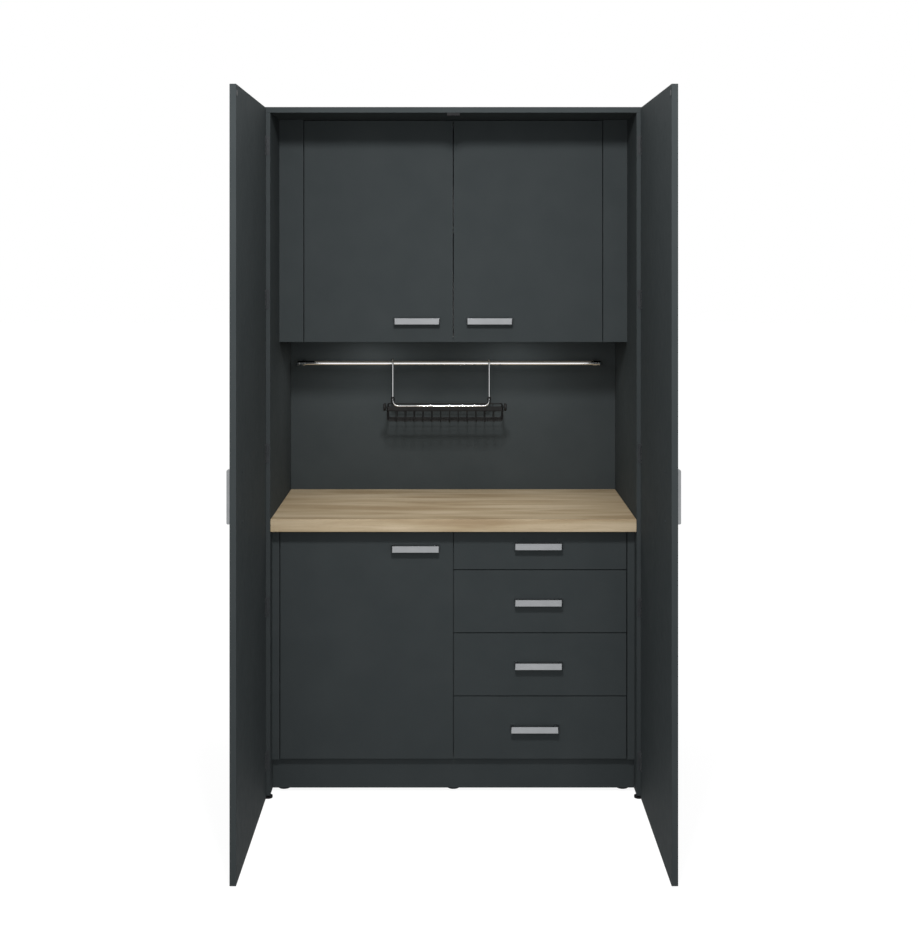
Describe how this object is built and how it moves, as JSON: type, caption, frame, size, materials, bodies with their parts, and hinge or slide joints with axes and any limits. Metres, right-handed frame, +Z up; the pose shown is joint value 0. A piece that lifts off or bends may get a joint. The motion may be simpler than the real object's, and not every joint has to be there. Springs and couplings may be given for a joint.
{
  "type": "kitchenette unit",
  "caption": "Cupboard-sized kitchenette behind two tall hinged doors, with an upper cabinet, a worktop niche with a rail, a base door and drawers.",
  "frame": {"origin": "on the floor, in the middle of the unit's width and of its depth as it stands with both tall doors open", "axes": "+X to the right seen from the front, +Y to the back, +Z up; the front faces -Y"},
  "size_m": [1.276, 1.1786, 2.2],
  "materials": {
    "anthracite_board": "matt anthracite melamine board",
    "pale_board": "matt white melamine board",
    "oak_worktop": "light oak laminate, satin",
    "satin_aluminium": "satin anodised",
    "chrome": "polished chrome plate",
    "black_wire": "black powder coat",
    "black_steel": "dark lacquered steel",
    "bright_steel": "nickel or zinc plated steel",
    "black_plastic": "moulded black plastic"
  },
  "bodies": {
    "housing": {"base_bottoms": "pale_board", "base_feet": "black_plastic", "base_rails": "pale_board", "base_sides": "pale_board", "cabinet_backs": "pale_board", "concealed_hinge_arms": "bright_steel", "door_catch": "black_plastic", "drawer_runners": "bright_steel", "filler_strips": "anthracite_board", "housing_back": "anthracite_board", "housing_glides": "black_plastic", "housing_side_left": "anthracite_board", "housing_side_right": "anthracite_board", "housing_top": "anthracite_board", "plinth": "anthracite_board", "rail_brackets": "chrome", "rail_tube": "chrome", "shelf_angles": "bright_steel", "shelf_boards": "pale_board", "splashback": "anthracite_board", "tall_hinge_frame_leaves": "black_steel", "tall_hinge_pins": "black_steel", "upper_decks": "pale_board", "upper_sides": "pale_board", "worktop": "oak_worktop"},
    "tall_door_left_body": {"tall_door_left": "anthracite_board", "tall_door_left_handle": "satin_aluminium", "tall_door_left_hinge_leaves": "black_steel", "tall_door_left_strike": "black_steel"},
    "tall_door_right_body": {"tall_door_right": "anthracite_board", "tall_door_right_handle": "satin_aluminium", "tall_door_right_hinge_leaves": "black_steel", "tall_door_right_strike": "black_steel"},
    "upper_door_left_body": {"upper_door_left": "anthracite_board", "upper_door_left_handle": "satin_aluminium", "upper_door_left_hinge_cups": "bright_steel"},
    "upper_door_right_body": {"upper_door_right": "anthracite_board", "upper_door_right_handle": "satin_aluminium", "upper_door_right_hinge_cups": "bright_steel"},
    "base_door_body": {"base_door": "anthracite_board", "base_door_handle": "satin_aluminium", "base_door_hinge_cups": "bright_steel"},
    "hanging_shelf_body": {"hanging_frame": "chrome", "hanging_basket": "black_wire"},
    "drawer_1_body": {"drawer_1_front": "anthracite_board", "drawer_1_handle": "satin_aluminium", "drawer_1_box": "pale_board", "drawer_1_slide_bars": "bright_steel"},
    "drawer_2_body": {"drawer_2_front": "anthracite_board", "drawer_2_handle": "satin_aluminium", "drawer_2_box": "pale_board", "drawer_2_slide_bars": "bright_steel"},
    "drawer_3_body": {"drawer_3_front": "anthracite_board", "drawer_3_handle": "satin_aluminium", "drawer_3_box": "pale_board", "drawer_3_slide_bars": "bright_steel"},
    "drawer_4_body": {"drawer_4_front": "anthracite_board", "drawer_4_handle": "satin_aluminium", "drawer_4_box": "pale_board", "drawer_4_slide_bars": "bright_steel"}
  },
  "joints": [
    {"name": "tall_door_left_swing", "type": "hinge", "parent": "housing", "child": "tall_door_left_body", "pos_m": [-0.596, 0.00525, 0], "axis": [0, 0, -1], "range_deg": [-90, 10]},
    {"name": "tall_door_right_swing", "type": "hinge", "parent": "housing", "child": "tall_door_right_body", "pos_m": [0.596, 0.00525, 0], "axis": [0, 0, 1], "range_deg": [-90, 10]},
    {"name": "upper_door_left_swing", "type": "hinge", "parent": "housing", "child": "upper_door_left_body", "pos_m": [-0.4905, 0.24525, 0], "axis": [0, 0, -1], "range_deg": [0, 90]},
    {"name": "upper_door_right_swing", "type": "hinge", "parent": "housing", "child": "upper_door_right_body", "pos_m": [0.4905, 0.24525, 0], "axis": [0, 0, 1], "range_deg": [0, 90]},
    {"name": "base_door_swing", "type": "hinge", "parent": "housing", "child": "base_door_body", "pos_m": [-0.5475, 0.06225, 0], "axis": [0, 0, -1], "range_deg": [0, 90]},
    {"name": "drawer_1_slide", "type": "slide", "parent": "housing", "child": "drawer_1_body", "axis": [0, -1, 0], "range_m": [0, 0.33]},
    {"name": "drawer_2_slide", "type": "slide", "parent": "housing", "child": "drawer_2_body", "axis": [0, -1, 0], "range_m": [0, 0.33]},
    {"name": "drawer_3_slide", "type": "slide", "parent": "housing", "child": "drawer_3_body", "axis": [0, -1, 0], "range_m": [0, 0.33]},
    {"name": "drawer_4_slide", "type": "slide", "parent": "housing", "child": "drawer_4_body", "axis": [0, -1, 0], "range_m": [0, 0.33]},
    {"name": "hanging_shelf_slide", "type": "slide", "parent": "housing", "child": "hanging_shelf_body", "axis": [1, 0, 0], "range_m": [-0.3, 0.36]}
  ]
}
